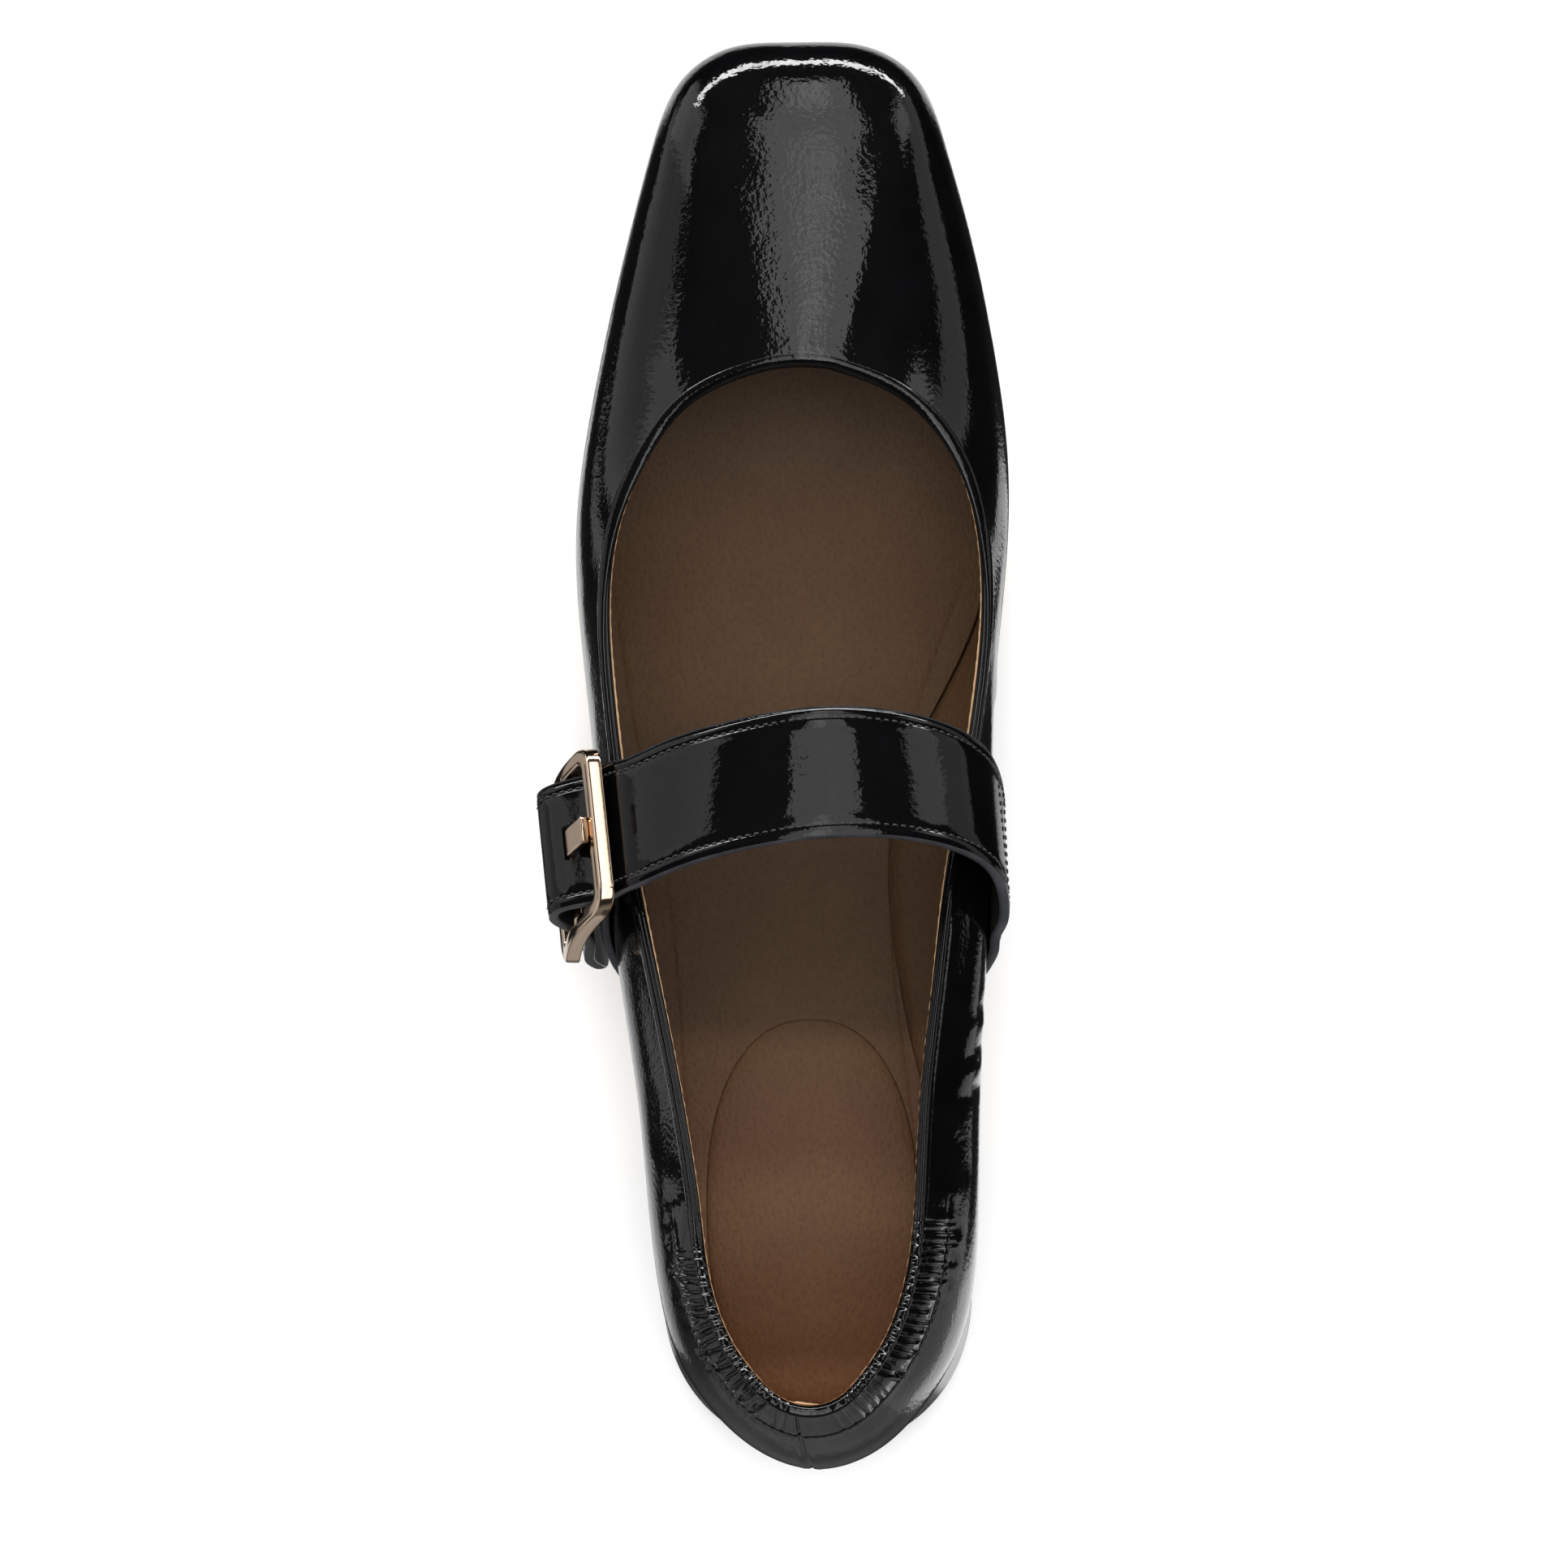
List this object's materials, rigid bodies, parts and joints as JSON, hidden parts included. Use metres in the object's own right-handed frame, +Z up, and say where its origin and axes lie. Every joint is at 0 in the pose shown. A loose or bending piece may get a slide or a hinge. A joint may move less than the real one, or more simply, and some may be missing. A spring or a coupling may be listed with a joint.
{
  "type": "ballet flat",
  "caption": "Left square-toe ballet flat with low block heel, gathered heel collar, instep strap with side buckle, lined footbed and ribbed sole, standing empty.",
  "frame": {"origin": "middle of the bounding box at floor level", "axes": "+X to the wearer's inner side of this left shoe, +Y from heel to toe, +Z up"},
  "size_m": [0.0904, 0.2688, 0.0832],
  "materials": {
    "patent_black": "glossy patent leather",
    "elastic_black": "ribbed knit elastic",
    "footbed_brown": "fine-grained matte leather",
    "outsole_beige": "fine-grained satin sole",
    "heel_black": "glossy lacquer",
    "lift_rubber": "finely ribbed matte rubber",
    "rose_gold": "polished rose gold plating"
  },
  "bodies": {
    "root": {"upper": "patent_black", "strap": "patent_black", "strap_base": "patent_black", "elastic": "elastic_black", "insole": "footbed_brown", "heel_pad": "footbed_brown", "outsole": "outsole_beige", "heel_block": "heel_black", "top_lift": "lift_rubber", "buckle_frame": "rose_gold", "buckle_prong": "rose_gold", "strap_ornament": "rose_gold"}
  },
  "joints": []
}
